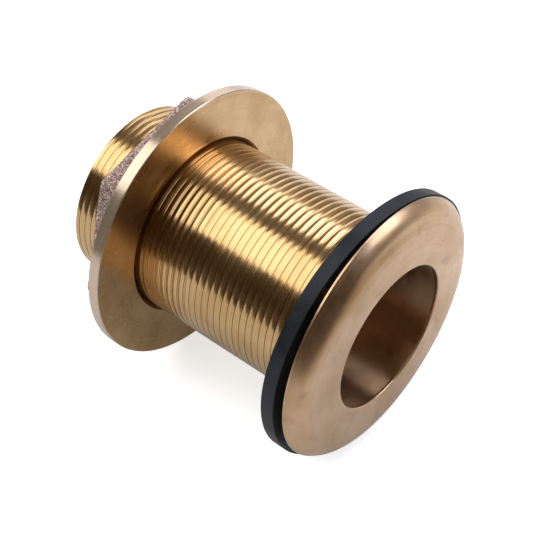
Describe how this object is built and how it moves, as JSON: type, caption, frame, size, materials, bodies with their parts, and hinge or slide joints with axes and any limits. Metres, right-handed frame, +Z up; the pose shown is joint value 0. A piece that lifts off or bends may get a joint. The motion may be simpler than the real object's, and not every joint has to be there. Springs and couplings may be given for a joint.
{
  "type": "thru hull fitting",
  "caption": "Mushroom-headed threaded tube that lines a hole in a boat's hull, with a rubber gasket behind the head and a flanged hex nut screwed along the barrel.",
  "frame": {"origin": "on the fitting's axis, halfway between the head's outer face and the barrel's free end", "axes": "+X along the axis and out of the head's outer face, +Z up as the fitting lies in the picture"},
  "size_m": [0.0834, 0.0758, 0.0758],
  "materials": {
    "machined_brass": "machined all over: bright turned thread, satin head face",
    "gasket_rubber": "matte black",
    "nut_bronze": "turned satin flange, rough sand-cast hexagon"
  },
  "bodies": {
    "gasket": {"gasket": "gasket_rubber"},
    "thru_hull_body": {"thru_hull_body": "machined_brass"},
    "flange_nut": {"flange_nut": "nut_bronze"}
  },
  "joints": [
    {"name": "body_turn", "type": "hinge", "parent": "gasket", "child": "thru_hull_body", "pos_m": [0, 0, 0], "axis": [-1, 0, 0], "range_deg": [-3600, 7920]},
    {"name": "nut_travel", "type": "slide", "parent": "gasket", "child": "flange_nut", "axis": [1, 0, 0], "range_m": [-0.0201, 0.0441]}
  ],
  "couplings": [
    {"joint": "nut_travel", "follows": "body_turn", "m_per_rad": 0.00031831}
  ]
}
